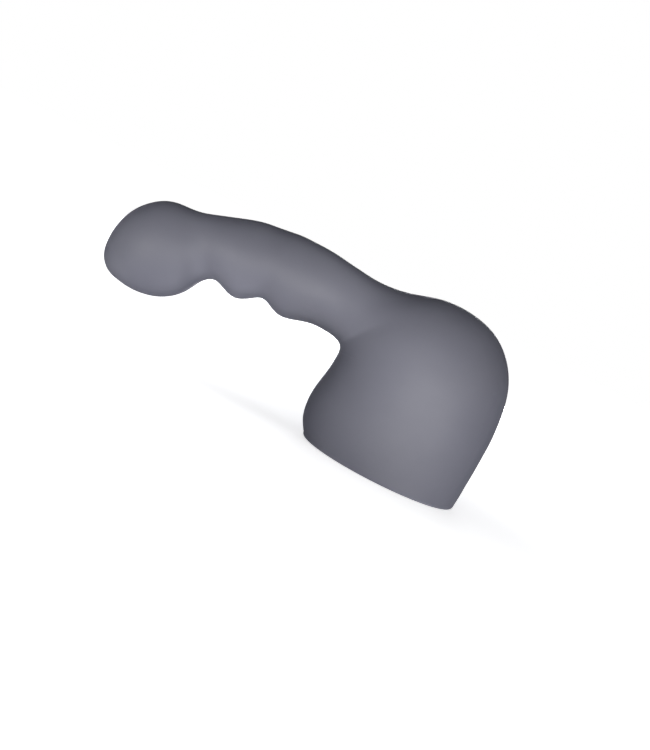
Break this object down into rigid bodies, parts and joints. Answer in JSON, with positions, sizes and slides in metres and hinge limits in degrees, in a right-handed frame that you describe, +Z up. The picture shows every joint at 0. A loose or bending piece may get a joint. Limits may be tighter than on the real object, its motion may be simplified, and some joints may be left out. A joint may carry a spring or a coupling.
{
  "type": "wand massager head",
  "caption": "Soft silicone head that slips over a wand massager: bell-shaped socket with a sideways arm, scalloped underside, neck and egg-shaped bulb tip.",
  "frame": {"origin": "centre of the socket's mouth, in the plane of its rim", "axes": "+Z up the socket's axis from the mouth to the crown, -X along the arm to the bulb, +Y across; symmetric about the XZ plane"},
  "size_m": [0.1817, 0.0728, 0.0768],
  "materials": {
    "silicone": "matte, velvety",
    "pad_rubber": "matte",
    "nylon": "moulded, matte",
    "steel": "turned",
    "foam": "closed-cell, matte"
  },
  "bodies": {
    "cup": {"cup_skin": "silicone", "crown_plate": "nylon", "contact_pad": "pad_rubber"},
    "arm": {"arm_skin": "silicone", "core_left": "nylon", "core_right": "nylon", "core_screw_1": "steel", "core_screw_2": "steel", "core_screw_3": "steel", "core_screw_4": "steel", "arm_weight_1": "steel", "arm_weight_2": "steel", "arm_weight_3": "steel", "weight_spacer_1": "foam", "weight_spacer_2": "foam", "weight_spacer_3": "foam", "tip_weight": "steel"}
  },
  "joints": [
    {"name": "arm_flex", "type": "hinge", "parent": "cup", "child": "arm", "pos_m": [-0.043, 0, 0.0573], "axis": [0, 1, 0], "range_deg": [-12, 12], "stiffness_Nm_per_rad": 3}
  ]
}
